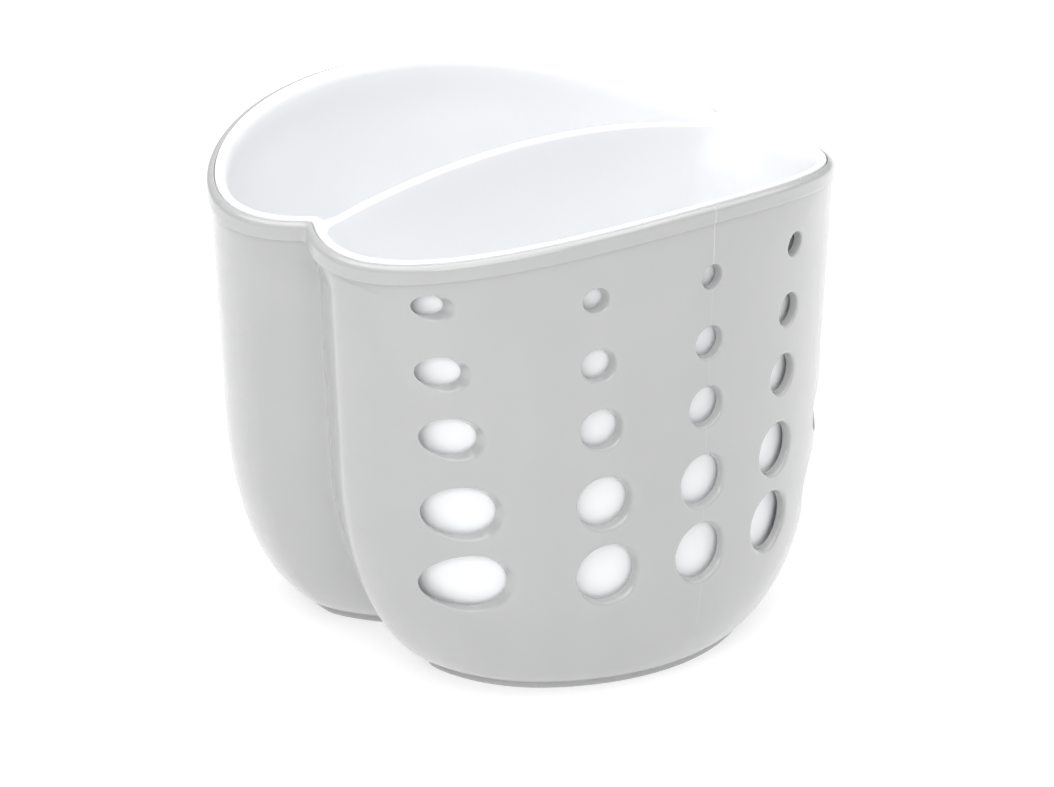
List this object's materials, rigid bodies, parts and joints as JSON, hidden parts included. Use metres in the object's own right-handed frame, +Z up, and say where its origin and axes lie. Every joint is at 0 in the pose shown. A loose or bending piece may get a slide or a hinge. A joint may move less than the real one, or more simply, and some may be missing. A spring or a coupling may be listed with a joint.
{
  "type": "kitchen sink caddy",
  "caption": "Two-lobed countertop sink caddy: a perforated grey outer shell with a lift-out white liner split into two compartments for sponges and brushes.",
  "frame": {"origin": "centre of the footprint, on the resting surface", "axes": "+Z up; X runs from notch to notch along the divider; the front lobe is towards -Y and the back lobe towards +Y"},
  "size_m": [0.1518, 0.1514, 0.1302],
  "materials": {
    "shell_plastic": "gloss",
    "liner_plastic": "gloss"
  },
  "bodies": {
    "shell": {"outer_shell": "shell_plastic"},
    "liner_insert": {"liner": "liner_plastic"}
  },
  "joints": [
    {"name": "liner_lift", "type": "slide", "parent": "shell", "child": "liner_insert", "axis": [0, 0, 1], "range_m": [0, 0.128]}
  ]
}
